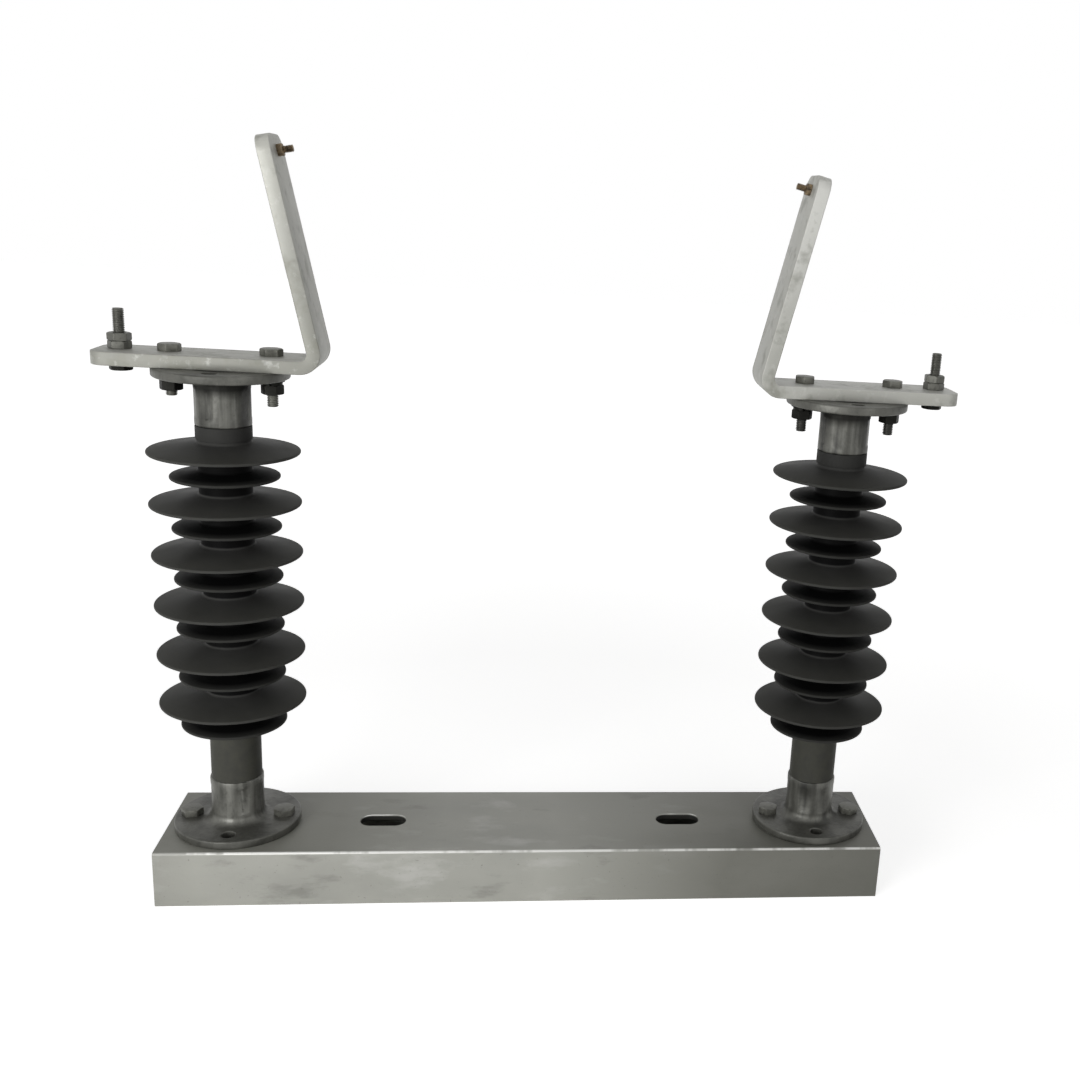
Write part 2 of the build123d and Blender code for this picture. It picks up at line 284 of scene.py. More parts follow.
class Finish(Graph):
    """A material, and the tone that is laid on so far."""

    def __init__(self, name):
        self.material = bpy.data.materials.new(name)
        super().__init__(self.material)
        self.shader = self.nodes["Principled BSDF"]
        self.place = self.nodes.new("ShaderNodeTexCoord").outputs["Object"]
        self.facing = self.nodes.new("ShaderNodeNewGeometry").outputs["Normal"]
        self.tone = None

    def set(self, **inputs):
        """Sets or links sockets of the shader."""
        for key, value in inputs.items():
            self.fill(self.shader.inputs[key.replace("_", " ")], value)

    def noise(self, scale, detail=4.0, roughness=0.55, stretch=None):
        """Cloudy pattern; scale counts features per metre, times the stretch of each axis."""
        place = self.place
        if stretch:
            place = self.add("ShaderNodeMapping", Vector=place, Scale=stretch).outputs["Vector"]
        form = {"Scale": scale, "Detail": detail, "Roughness": roughness}
        return self.add("ShaderNodeTexNoise", Vector=place, **form).outputs["Fac"]

    def axis(self, name):
        """One coordinate of the place on the piece."""
        return self.add("ShaderNodeSeparateXYZ", Vector=self.place).outputs[name]

    def off(self, name):
        """Distance from the object's middle along one axis."""
        return self.math("ABSOLUTE", self.axis(name))

    def normal(self, name):
        """One component of the surface's own direction."""
        return self.add("ShaderNodeSeparateXYZ", Vector=self.facing).outputs[name]

    def radius(self):
        """Distance from the axis of the insulator on the same side."""
        x = self.math("SUBTRACT", self.off("X"), AXIS_X)
        y = self.axis("Y")
        return self.math("SQRT", self.math("ADD", self.times(x, x), self.times(y, y)))

    def blend(self, share, first, second):
        """Mixes two colours by a share."""
        node = self.add("ShaderNodeMix", {"data_type": "RGBA"})
        for number, value in ((0, share), (6, first), (7, second)):
            self.fill(node.inputs[number], value)
        return node.outputs[2]

    def begin(self, pattern, low, high, first, second):
        """First tone: one colour where a pattern is low, another where it is high."""
        self.tone = self.blend(self.spread(pattern, low, high), first, second)

    def coat(self, share, colour):
        """Lays a share of a colour over the tone."""
        self.tone = self.blend(share, self.tone, colour)

    def patch(self, pattern, low, high, most, colour, *masks):
        """Lays a colour over the tone where a pattern nears its high value, within masks."""
        self.coat(self.times(self.spread(pattern, low, high, 0.0, most), *masks), colour)

    def surface(self, metallic, roughness, normal):
        """Sets the shader, with the tone as its colour."""
        self.set(Base_Color=self.tone, Metallic=metallic, Roughness=roughness, Normal=normal)

    def bump(self, height, distance, strength=1.0, under=None):
        """Bump in metres on top of another bump."""
        node = self.add("ShaderNodeBump", Height=height, Distance=distance, Strength=strength)
        if under is not None:
            self.links.new(under, node.inputs["Normal"])
        return node.outputs["Normal"]


def shade(level, yellow=0.09):
    """Linear colour of a grey given as an 8-bit level, with a little less blue."""
    base = (level / 255) ** 2.2
    return (base, base, base * (1 - yellow), 1.0)


def channel_zinc(look):
    """Zinc coated channel, cloudy; painted shade to the right, on the left top and inside; a
    painted highlight on the bends.
    """
    clouds = look.noise(13, 5.0, stretch=(0.6, 1.0, 1.0))
    smears = look.noise(36, 5.0, 0.6, stretch=(0.45, 1.0, 1.3))
    specks = look.noise(430, 2.0)
    highlight_breaks = look.noise(60, 3.0, stretch=(1.0, 0.2, 0.2))
    upward = look.normal("Z")
    look.begin(clouds, 0.32, 0.68, shade(154), shade(176))
    look.patch(smears, 0.56, 0.7, 0.55, shade(196, 0.05))
    # Painted shade: the channel turns darker and more olive towards its right end.
    shaded_right_end = look.blend(look.spread(clouds, *MOST), shade(104, 0.16), shade(124, 0.12))
    along = look.math("ADD", look.axis("X"), look.spread(clouds, *MOST, -0.03, 0.03))
    look.patch(along, 0.02, 0.17, 1.0, shaded_right_end)
    look.patch(smears, 0.4, 0.28, 0.45, shade(104, 0.12))
    look.patch(specks, 0.69, 0.76, 0.35, shade(84, 0.2))
    # Painted shade on the channel's upward faces towards its left end.
    top_left_shade = look.times(look.spread(look.axis("X"), -0.07, -0.15), upward, 0.75)
    look.coat(top_left_shade, shade(122, 0.14))
    look.patch(look.off("X"), 0.21, 0.28, 0.35, shade(104, 0.14))
    # Painted highlight along the long outer bends, broken up by a noise.
    corner = look.times(look.math("ABSOLUTE", look.normal("Y")), upward)
    highlight_share = look.spread(highlight_breaks, 0.38, 0.52, 0.25, 1.0)
    look.coat(look.times(look.spread(corner, 0.2, 0.42), highlight_share), shade(226, 0.04))
    sawn_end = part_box("base_channel")[1].x
    off_end = look.math("SUBTRACT", sawn_end, look.off("X"))
    # Painted shade in the hollow: the walls of the slots and holes and the web's underside.
    inside = look.times(
        look.spread(look.off("Y"), 0.046, 0.03),
        look.spread(off_end, 0.001, 0.02),
        look.spread(look.axis("Z"), 0.0435, 0.0425, 0.0, 0.95),
    )
    look.coat(inside, shade(34, 0.14))
    relief = look.bump(smears, 0.0005, 0.5, look.bump(specks, 0.0001))
    look.surface(0.25, look.spread(clouds, *MOST, 0.45, 0.6), relief)


def cast_zinc(look):
    """Zinc on a crimped casting: press marks down the barrel, and painted shade under the upper
    flange.
    """
    clouds = look.noise(45, 5.0)
    marks = look.noise(95, 3.0, stretch=(1.0, 1.0, 0.07))
    dents = look.noise(210, stretch=(1.0, 1.0, 0.6))
    grains = look.noise(620, 3.0)
    look.begin(clouds, 0.35, 0.66, shade(66, 0.14), shade(98, 0.12))
    barrel = look.spread(look.radius(), *ONTO_THE_BARREL)
    look.patch(marks, 0.48, 0.62, 0.75, shade(120, 0.1), barrel)
    look.patch(marks, 0.46, 0.36, 0.8, shade(42, 0.14), barrel)
    look.patch(dents, 0.58, 0.72, 0.5, shade(58, 0.16))
    look.patch(grains, 0.6, 0.75, 0.35, shade(60, 0.16))
    # Painted shade on the waist under the upper flange, where its specular is turned down too.
    under = look.spread(look.axis("Z"), *UP_TO_THE_FLANGE)
    under = look.times(under, look.spread(look.radius(), *INTO_THE_WAIST))
    look.coat(look.times(under, 0.9), shade(26, 0.14))
    look.set(Specular_IOR_Level=look.spread(under, 0.0, 1.0, 0.5, 0.1))
    relief = look.bump(dents, 0.0006, 0.7, look.bump(grains, 0.00012))
    look.surface(0.4, look.spread(clouds, *MOST, 0.52, 0.38), relief)


def bar_aluminium(look):
    """Flat bar, drawn lengthwise and stained; painted shade on its edges on the left, painted
    light on the right.
    """
    clouds = look.noise(22, 5.0)
    drawn = look.noise(800, 2.0, stretch=(0.04, 1.0, 0.04))
    stains = look.noise(70)
    scuffs = look.noise(130, 5.0, 0.65)
    across, height = look.axis("X"), look.axis("Z")
    look.begin(clouds, 0.32, 0.68, shade(166, 0.1), shade(184, 0.07))
    # Painted light: the horns lighter towards their tips.
    look.patch(height, 0.47, 0.55, 0.35, shade(206))
    edge = look.math("ABSOLUTE", look.normal("Y"))
    # Painted shade on the front and back faces of the left arm, fading up the horn.
    left_edge_shade = look.times(
        edge, look.spread(across, 0.1, -0.15), look.spread(height, 0.425, 0.53, 0.9, 0.0)
    )
    look.coat(left_edge_shade, shade(133, 0.12))
    right = look.spread(across, *TO_THE_RIGHT)
    # Painted light on the right horn's front and back faces, more towards the tip.
    right_horn_light = look.times(edge, right, look.spread(height, 0.43, 0.53, 0.0, 0.7))
    look.coat(right_horn_light, shade(222, 0.05))
    # Painted light on the upward faces of the right bar.
    look.coat(look.times(look.normal("Z"), right, 0.5), shade(214, 0.05))
    look.patch(stains, 0.52, 0.68, 0.65, shade(128, 0.16))
    look.patch(scuffs, 0.56, 0.7, 0.45, shade(204, 0.05))
    look.patch(drawn, 0.6, 0.8, 0.25, shade(150, 0.12))
    relief = look.bump(drawn, 0.00005, 0.6, look.bump(stains, 0.0003, 0.4))
    look.surface(0.25, look.spread(clouds, *MOST, 0.42, 0.58), relief)


def fastener_zinc(look):
    """Plated bolts and nuts, matt grey, dirtier in places, with painted shade on those under the
    arms.
    """
    clouds = look.noise(170)
    dirt = look.noise(420)
    height = look.axis("Z")
    look.begin(clouds, *MOST, shade(92, 0.14), shade(124, 0.12))
    look.patch(dirt, 0.55, 0.7, 0.6, shade(60, 0.16))
    look.patch(height, 0.2, 0.1, 0.2, shade(60, 0.14))
    look.patch(look.radius(), 0.05, 0.056, 0.4, shade(60, 0.14))
    # Painted shade on the nuts and washers under the upper flanges.
    under = look.spread(height, *UP_TO_THE_NUTS)
    under = look.times(under, look.spread(height, *DOWN_TO_THE_WASHERS))
    look.coat(look.times(under, 0.93), shade(18, 0.1))
    # Painted shade, lighter, on the bolt ends under the right arm's nuts.
    stub = look.times(
        look.spread(height, 0.36, 0.365),
        look.spread(height, *DOWN_TO_THE_STUBS),
        look.spread(look.axis("X"), *TO_THE_RIGHT, 0.0, 0.7),
    )
    look.coat(stub, shade(32, 0.1))
    # Less specular where the painted shade lies, which darkens it further.
    look.set(Specular_IOR_Level=look.spread(under, 0.0, 1.0, 0.5, 0.06))
    look.surface(0.45, look.spread(clouds, *MOST, 0.4, 0.55), look.bump(dirt, 0.00008))


def clamp_bronze(look):
    """Small bolt and nut near each tip, browned by the arc."""
    clouds = look.noise(300)
    look.begin(clouds, 0.35, 0.65, (0.045, 0.032, 0.018, 1.0), (0.27, 0.2, 0.12, 1.0))
    relief = look.bump(clouds, 0.0002, 0.6)
    look.surface(0.6, look.spread(clouds, *MOST, 0.35, 0.6), relief)


def housing_rubber(look):
    """Dark grey silicone rubber: dust and painted sheen on the large sheds, painted rim
    highlights, a dusty neck, painted shade between the sheds.
    """
    sizes = bpy.context.scene.fuse_housing
    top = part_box("left_insulator_housing")[1].z
    collar_end, collar_edge = top - 12.5 * MM, top - 11.5 * MM
    shed_middle = sizes.first_drop - 2.8 * MM
    clouds = look.noise(30)
    dust = look.noise(120, 5.0)
    up, height, radius = look.normal("Z"), look.axis("Z"), look.radius()
    look.begin(clouds, *MOST, shade(64, 0.05), shade(73, 0.05))
    # Dust, with a painted sheen, on the upward faces of the sheds.
    dust_and_sheen = look.times(
        look.spread(up, 0.3, 1.0, 0.0, 0.3),
        look.spread(radius, 0.026, 0.05),
        look.spread(dust, *MOST, 0.75, 1.0),
    )
    look.coat(dust_and_sheen, shade(78, 0.22))
    # Painted highlight along the steep faces of the shed rims.
    steep = look.spread(look.math("ABSOLUTE", up), 0.95, 0.6)
    rim = look.times(steep, look.spread(radius, 0.03, 0.034), 0.4)
    look.coat(rim, shade(72, 0.1))
    # Painted shade, near black, on the trunk and small sheds between the large sheds' tops, less
    # on the collar.
    drop = look.math("MODULO", look.math("SUBTRACT", top, height), sizes.pitch)
    off_shed = look.math("ABSOLUTE", look.math("SUBTRACT", drop, shed_middle))
    neck = look.spread(height, *INTO_THE_NECK)
    shade_between_sheds = look.times(
        look.spread(radius, 0.0405, 0.03),
        look.spread(off_shed, 0.0046, 0.0056),
        look.spread(neck, 0.0, 1.0, 1.0, 0.0),
        look.spread(height, collar_end, collar_edge, 1.0, 0.2),
    )
    look.coat(shade_between_sheds, shade(24, 0.0))
    trunk = look.spread(radius, 0.0265, 0.0205)
    dusty = look.times(trunk, look.spread(dust, 0.35, 0.65, 0.4, 0.8), neck)
    look.coat(dusty, shade(80, 0.18))
    # Less specular where the painted shade lies.
    look.set(Specular_IOR_Level=look.spread(shade_between_sheds, 0.0, 1.0, 0.06, 0.03))
    relief = look.bump(look.noise(1500, 2.0), 0.00003)
    look.surface(0.0, look.spread(clouds, *MOST, 0.48, 0.62), relief)


def rod_glass_fibre(look):
    """Pultruded rod, pale green, with fibres along its length."""
    fibres = look.noise(1200, 2.0, stretch=(1.0, 1.0, 0.02))
    look.begin(fibres, 0.35, 0.65, (0.35, 0.38, 0.2, 1.0), (0.5, 0.52, 0.32, 1.0))
    look.surface(0.0, 0.45, look.bump(fibres, 0.00005))


FINISHES = {
    "channel": channel_zinc,
    "fitting": cast_zinc,
    "rubber": housing_rubber,
    "rod": rod_glass_fibre,
    "bar": bar_aluminium,
    "clamp": clamp_bronze,
    "fastener": fastener_zinc,
}


def finish_for(slot):
    """The material of a slot, made the first time that it is asked for."""
    maker = FINISHES[slot]
    made = bpy.data.materials.get(maker.__name__)
    if made is None:
        look = Finish(maker.__name__)
        maker(look)
        made = look.material
    return made


# Modelling


def only(piece):
    """Selects one piece and makes it the active one."""
    bpy.ops.object.select_all(action="DESELECT")
    piece.select_set(True)
    bpy.context.view_layer.objects.active = piece


def go_to(mode):
    """Switches between edit mode and object mode."""
    bpy.ops.object.mode_set(mode=mode)


def extrude(way):
    """Extrudes what is selected in edit mode."""
    bpy.ops.mesh.extrude_region_move(TRANSFORM_OT_translate={"value": way})


def pick_all():
    """Selects the whole mesh in edit mode."""
    bpy.ops.mesh.select_all(action="SELECT")


def draw_outline(points, closed):
    """Outline of (radius, height) points in the XZ plane, drawn point by point in edit mode."""
    bpy.ops.mesh.primitive_plane_add(size=MM)
    piece = bpy.context.object
    go_to("EDIT")
    bpy.ops.mesh.select_mode(type="VERT")
    pick_all()
    bpy.ops.mesh.merge(type="CENTER")
    places = [Vector((x, 0, z)) for x, z in points]
    bpy.ops.transform.translate(value=places[0])
    following = places[1:] + places[:1] if closed else places[1:]
    for here, there in zip(places, following):
        bpy.ops.mesh.extrude_vertices_move(TRANSFORM_OT_translate={"value": there - here})
    pick_all()
    bpy.ops.mesh.remove_doubles(threshold=JOIN)
    return piece


def pick(piece, test):
    """Selects the points of the mesh in edit mode whose place passes a test."""
    bpy.ops.mesh.select_all(action="DESELECT")
    mesh = bmesh.from_edit_mesh(piece.data)
    for point in mesh.verts:
        point.select = test(point.co)
    mesh.select_flush(True)
    bmesh.update_edit_mesh(piece.data)


def pick_edges(piece, test):
    """Selects the edges of the mesh in edit mode whose two ends pass a test."""
    bpy.ops.mesh.select_mode(type="EDGE")
    bpy.ops.mesh.select_all(action="DESELECT")
    mesh = bmesh.from_edit_mesh(piece.data)
    for edge in mesh.edges:
        edge.select = test(edge.verts[0].co, edge.verts[1].co)
    bmesh.update_edit_mesh(piece.data)


def round_corners(piece, radius, test, segments=4):
    """Rounds the corners of an outline in edit mode whose place passes a test."""
    corners = {}
    for point in bmesh.from_edit_mesh(piece.data).verts:
        if len(point.link_edges) == 2 and test(point.co):
            one, other = (edge.other_vert(point).co - point.co for edge in point.link_edges)
            turn = round(pi - one.angle(other), 3)
            corners.setdefault(turn, []).append(point.co.copy())
    for turn, places in corners.items():
        pick(piece, lambda co: any((co - place).length < JOIN for place in places))
        bpy.ops.mesh.bevel(offset=radius * tan(turn / 2), segments=segments, affect="VERTICES")


def turn_outline(piece, steps=ROUND_STEPS):
    """Turns the outline in edit mode about the Z axis and goes back to object mode."""
    pick_all()
    bpy.ops.mesh.spin(steps=steps, angle=2 * pi, center=(0, 0, 0), axis=(0, 0, 1))
    close_up()


def close_up():
    """Merges doubles, points all faces outwards and goes back to object mode."""
    pick_all()
    bpy.ops.mesh.remove_doubles(threshold=JOIN)
    bpy.ops.mesh.normals_make_consistent(inside=False)
    go_to("OBJECT")


def apply(piece, kind, **values):
    """Gives a piece one modifier and applies it."""
    only(piece)
    step = piece.modifiers.new(kind, kind)
    for key, value in values.items():
        setattr(step, key, value)
    bpy.ops.object.modifier_apply(modifier=step.name)


def combine(piece, tool, operation):
    """Cuts a tool out of a piece, or keeps what both share, and removes the tool."""
    apply(piece, "BOOLEAN", operation=operation, object=tool, solver="EXACT")
    discard(tool)


def soften(piece, width, segments=2):
    """Rounds the sharp edges of a piece."""
    apply(
        piece, "BEVEL", width=width, segments=segments, limit_method="ANGLE", angle_limit=SHARP
    )


def copied(piece):
    """Copy of a piece with its own mesh."""
    only(piece)
    bpy.ops.object.duplicate()
    return bpy.context.object


def put(piece, matrix):
    """Moves a piece and keeps its object at the origin, with the place in its mesh."""
    only(piece)
    piece.matrix_world = matrix
    bpy.ops.object.transform_apply()


def upright(place, turn=0.0):
    """Matrix that moves a piece to a place, turned about its own axis."""
    return Matrix.Translation(place) @ Matrix.Rotation(turn, 4, "Z")


def join(first, second):
    """Makes two objects one piece."""
    only(first)
    second.select_set(True)
    bpy.ops.object.join()


def hole_cutter(radius, low, high, edge):
    """Round cutter between two levels, flared at both, so that it breaks the hole's edges."""
    wide = radius + 2 * edge
    points = [
        (0, low - edge), (wide, low - edge), (radius, low + edge),
        (radius, high - edge), (wide, high + edge), (0, high + edge),
    ]
    cutter = draw_outline(points, closed=False)
    turn_outline(cutter, HOLE_STEPS)
    return cutter


def cut_holes(piece, cutter, places):
    """Cuts the same hole at several places."""
    for place in places:
        tool = copied(cutter)
        put(tool, Matrix.Translation(place))
        combine(piece, tool, "DIFFERENCE")
    discard(cutter)


def hand_over(piece, node, slot):
    """Smooths and paints a finished piece and lets it stand for its node."""
    only(piece)
    piece.name = f"finished_{node}"
    bpy.ops.object.shade_smooth_by_angle(angle=SMOOTH_BELOW)
    paint(piece, finish_for(slot))
    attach(piece, "root")
    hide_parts(node)


def paint(piece, material):
    """Gives a piece one material."""
    piece.data.materials.clear()
    piece.data.materials.append(material)


def discard(*patterns):
    """Removes objects that have served."""
    for pattern in patterns:
        bpy.data.objects.remove(pattern)


def stand_in(pattern, matrix, node, slot):
    """Puts a copy of a pattern in place and hands it over for a node."""
    piece = copied(pattern)
    put(piece, matrix)
    hand_over(piece, node, slot)


class FUSE_OT_model_channel(bpy.types.Operator):
    """Models the base channel with its slots and bolt holes"""

    bl_idname = "fuse.model_channel"
    bl_label = "Model the channel"

    def execute(self, context):
        sizes = context.scene.fuse_channel
        low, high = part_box("base_channel")
        half, top, wall = high.y, high.z, sizes.wall
        root = top - wall
        points = [
            (-half, 0), (-half, top), (half, top), (half, 0),
            (half - wall, 0), (half - wall, root), (wall - half, root), (wall - half, 0),
        ]
        piece = draw_outline(points, closed=True)
        round_corners(piece, sizes.corner_radius, lambda co: co.z > top - JOIN, segments=6)
        round_corners(
            piece, sizes.root_radius, lambda co: abs(co.z - root) < JOIN and abs(co.x) > half / 2
        )
        pick_all()
        bpy.ops.mesh.edge_face_add()
        extrude((0, high.x - low.x, 0))
        close_up()
        put(piece, Matrix.Translation((high.x, 0, 0)) @ Matrix.Rotation(pi / 2, 4, "Z"))
        soften(piece, sizes.edge_rounding)
        bolts = [
            (middle_of(f"{side}_base_bolt_{place}").x, 0, 0) for side in SIDES for place in PLACES
        ]
        cut_holes(piece, hole_cutter(sizes.hole / 2, root, top, edge=0.3 * MM), bolts)
        slot = hole_cutter(sizes.slot_width / 2, root, top, edge=0.5 * MM)
        only(slot)
        go_to("EDIT")
        straight = (sizes.slot_length - sizes.slot_width) / 2
        for sign in (-1, 1):
            pick(slot, lambda co: co.x * sign > SPARE)
            bpy.ops.transform.translate(value=(sign * straight, 0, 0))
        go_to("OBJECT")
        cut_holes(piece, slot, [(sign * sizes.slot_offset, 0, 0) for sign in (-1, 1)])
        hand_over(piece, "base_channel", "channel")
        return {"FINISHED"}


def press_crimps(piece, sizes):
    """Flattens the barrel between its crimp levels, each press mark a little different."""
    unevenness, rhythm = 0.3, 2.3
    radius = sizes.barrel / 2
    low = sizes.crimp_start
    high = sizes.crimp_start + sizes.crimp_length
    column = 2 * pi / ROUND_STEPS
    near = radius * column / 3
    per_crimp = ROUND_STEPS // sizes.crimp_count
    only(piece)
    go_to("EDIT")
    for number in range(sizes.crimp_count):
        middle = number * per_crimp * column + pi / sizes.crimp_count
        flat = radius - sizes.crimp_depth * (1 + unevenness * sin(rhythm * number))
        for offset in range(1 - per_crimp // 2, per_crimp // 2):
            inward = radius - flat / cos(offset * column)
            if inward > 0:
                angle = middle + offset * column
                side = Vector((cos(angle), sin(angle), 0))
                spot = (side * radius).xy
                pick(piece, lambda co: low < co.z < high and (co.xy - spot).length < near)
                bpy.ops.transform.translate(value=-inward * side)
    go_to("OBJECT")


class FUSE_OT_model_fittings(bpy.types.Operator):
    """Models one crimped end fitting and copies it to both ends of both insulators"""

    bl_idname = "fuse.model_fittings"
    bl_label = "Model the end fittings"

    def execute(self, context):
        sizes = context.scene.fuse_fitting
        low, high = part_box("left_lower_fitting")
        flange = (high.y - low.y) / 2
        top = high.z - low.z
        plate = sizes.flange_thickness
        barrel = sizes.barrel / 2
        socket = sizes.socket / 2
        shoulder = 0.75 * MM
        crimp_start = sizes.crimp_start
        crimp_end = crimp_start + sizes.crimp_length
        points = [
            (0, 0), (flange, 0), (flange, plate), (barrel, plate),
            (barrel, crimp_start - shoulder), (barrel, crimp_start + shoulder),
            (barrel, crimp_end - shoulder), (barrel, crimp_end + shoulder),
            (barrel, top), (socket, top), (socket, sizes.socket_floor), (0, sizes.socket_floor),
        ]
        piece = draw_outline(points, closed=False)
        round_corners(piece, sizes.rim_rounding, lambda co: co.x > flange - JOIN)
        foot = Vector((barrel, 0, plate))
        round_corners(piece, sizes.foot_radius, lambda co: (co - foot).length < JOIN, segments=8)
        mouth = Vector((barrel, 0, top))
        round_corners(piece, sizes.mouth_rounding, lambda co: (co - mouth).length < JOIN)
        turn_outline(piece)
        press_crimps(piece, sizes)
        hole = hole_cutter(sizes.hole / 2, 0, plate, edge=0.5 * MM)
        circle = sizes.hole_circle / 2
        cut_holes(piece, hole, [(circle, 0, 0), (0, circle, 0), (-circle, 0, 0), (0, -circle, 0)])
        for number, (side, sign) in enumerate(SIDES.items()):
            node = f"{side}_lower_fitting"
            seat = upright((sign * AXIS_X, 0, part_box(node)[0].z), number * pi / 2)
            stand_in(piece, seat, node, "fitting")
            node = f"{side}_upper_fitting"
            seat = upright((sign * AXIS_X, 0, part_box(node)[1].z), (number + 2) * pi / 2)
            stand_in(piece, seat @ OVER, node, "fitting")
        discard(piece)
        return {"FINISHED"}


def shed_points(radius, rim, sizes):
    """One shed from the trunk out over its rim and back, going down."""
    trunk = sizes.trunk / 2
    half = sizes.rim_thickness / 2
    reach = radius - trunk
    return [
        (trunk, rim + half + reach * tan(sizes.top_slope)),
        (radius, rim + half),
        (radius, rim - half),
        (trunk, rim - half + reach * tan(sizes.under_slope)),
    ]


class FUSE_OT_model_housings(bpy.types.Operator):
    """Models one rubber housing with all its sheds and copies it to both insulators"""

    bl_idname = "fuse.model_housings"
    bl_label = "Model the rubber housings"

    def execute(self, context):
        sizes = context.scene.fuse_housing
        top = height_of("left_insulator_housing")
        trunk = sizes.trunk / 2
        collar = sizes.collar / 2
        bore = sizes.bore / 2
        under_collar = top - sizes.collar_height
        points = [(bore, top), (collar, top), (collar, under_collar), (trunk, under_collar)]
        for number in range(sizes.shed_count):
            rim = top - sizes.first_drop - number * sizes.pitch
            points += shed_points(sizes.large_shed / 2, rim, sizes)
            points += shed_points(sizes.small_shed / 2, rim - sizes.small_drop, sizes)
        points += [(trunk, 0), (bore, 0)]
        piece = draw_outline(points, closed=True)
        round_corners(piece, sizes.rim_rounding, lambda co: co.x > collar + MM)
        below = under_collar - MM
        round_corners(
            piece, sizes.root_rounding, lambda co: abs(co.x - trunk) < JOIN and 0 < co.z < below
        )
        round_corners(piece, COLLAR_ROUNDING, lambda co: abs(co.x - collar) < JOIN)
        turn_outline(piece)
        for side, sign in SIDES.items():
            node = f"{side}_insulator_housing"
            stand_in(piece, upright((sign * AXIS_X, 0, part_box(node)[0].z)), node, "rubber")
        discard(piece)
        return {"FINISHED"}


class FUSE_OT_model_bars(bpy.types.Operator):
    """Models the right bar, bent as the real one is, and mirrors a copy to the left"""

    bl_idname = "fuse.model_bars"
    bl_label = "Model the horn bars"

    def execute(self, context):
        sizes = context.scene.fuse_bar
        low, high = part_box("right_horn_bar")
        width = high.y - low.y
        seat = low.z
        bar_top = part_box("right_terminal_nut")[0].z
        thick = bar_top - seat
        lean = sizes.horn_lean
        bend = pi / 2 + lean
        tangent = sizes.bend_radius * tan(bend / 2)
        corner_x = AXIS_X - sizes.bend_inset
        centre = Vector((corner_x + tangent, 0, bar_top + sizes.bend_radius))
        bpy.ops.mesh.primitive_plane_add(size=1.0, rotation=(0, pi / 2, 0))
        piece = context.object
        bpy.ops.object.transform_apply()
        go_to("EDIT")
        bpy.ops.mesh.select_mode(type="FACE")
        pick_all()
        bpy.ops.transform.resize(value=(1, width, thick), center_override=(0, 0, 0))
        bpy.ops.transform.translate(value=(high.x, 0, seat + thick / 2))
        extrude((centre.x - high.x, 0, 0))
        bpy.ops.mesh.spin(steps=BEND_STEPS, angle=-bend, center=centre, axis=(0, 1, 0))
        up = Vector((sin(lean), 0, cos(lean)))
        extrude((sizes.horn_length - tangent) * up)
        tip = Vector((corner_x, 0, bar_top)) + sizes.horn_length * up

        def at_end(co):
            return co.x > high.x - JOIN or abs((co - tip).dot(up)) < JOIN

        pick_edges(
            piece,
            lambda one, other: at_end(one) and at_end(other) and abs(one.y - other.y) < JOIN
            and (one - other).length < 2 * thick,
        )
        bpy.ops.mesh.bevel(offset=sizes.corner_radius, segments=8, affect="EDGES")
        bpy.ops.mesh.select_mode(type="VERT")
        close_up()
        soften(piece, sizes.edge_rounding, segments=3)
        arm_nodes = ("arm_bolt_outer", "arm_bolt_inner", "terminal_bolt")
        hole = hole_cutter(sizes.hole / 2, seat, bar_top, edge=0.3 * MM)
        cut_holes(piece, hole, [(middle_of(f"right_{node}").x, 0, 0) for node in arm_nodes])
        clamp_hole = hole_cutter(sizes.clamp_hole / 2, -thick, 0, edge=0.2 * MM)
        put(clamp_hole, clamp_matrix(context, 1))
        combine(piece, clamp_hole, "DIFFERENCE")
        mirrored = copied(piece)
        go_to("EDIT")
        pick_all()
        bpy.ops.transform.resize(value=(-1, 1, 1), center_override=(0, 0, 0))
        close_up()
        hand_over(piece, "right_horn_bar", "bar")
        hand_over(mirrored, "left_horn_bar", "bar")
        return {"FINISHED"}


def clamp_matrix(context, sign):
    """Seat of a clamp bolt: on the horn's outer face, its axis pointing away from the gap."""
    sizes = context.scene.fuse_bar
    lean = sizes.horn_lean
    along = sizes.horn_length - sizes.clamp_inset
    x = AXIS_X - sizes.bend_inset + along * sin(lean)
    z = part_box("right_terminal_nut")[0].z + along * cos(lean)
    away = Matrix.Rotation(sign * (pi / 2 + lean), 4, "Y")
    return Matrix.Translation((sign * x, 0, z)) @ away


def hexagon(across_flats, height, edge, outline):
    """Hexagonal blank from level 0 up, its edges softened and its ends turned to an outline."""
    corner = across_flats / 2 / cos(pi / 6)
    bpy.ops.mesh.primitive_cylinder_add(vertices=6, radius=corner, depth=height)
    piece = bpy.context.object
    put(piece, upright((0, 0, height / 2), pi / 6))
    soften(piece, edge)
    form = draw_outline(outline, closed=outline[0][0] > 0)
    turn_outline(form, ROUND_STEPS // 2)
    combine(piece, form, "INTERSECT")
    return piece


def turned_corner(across_flats, sizes):
    """Half a hexagon's width over flats and over corners, and how far its corners are turned."""
    flat = across_flats / 2
    corner = flat / cos(pi / 6) + SPARE
    return flat, corner, (corner - flat) * tan(sizes.chamfer)


def bolt_head(across_flats, height, sizes):
    """Hexagon head from level 0 up, its upper corners turned off."""
    flat, corner, drop = turned_corner(across_flats, sizes)
    outline = [(0, 0), (corner, 0), (corner, height - drop), (flat, height), (0, height)]
    return hexagon(across_flats, height, sizes.edge, outline)


def nut(across_flats, height, diameter, sizes):
    """Hexagon nut from level 0 up, both ends turned off and its bore countersunk."""
    flat, corner, drop = turned_corner(across_flats, sizes)
    bore = diameter / 2 + sizes.bore_play
    sink = 0.06 * diameter
    outline = [
        (bore, sink), (bore + sink, 0), (flat, 0), (corner, drop),
        (corner, height - drop), (flat, height), (bore + sink, height), (bore, height - sink),
    ]
    return hexagon(across_flats, height, sizes.edge, outline)


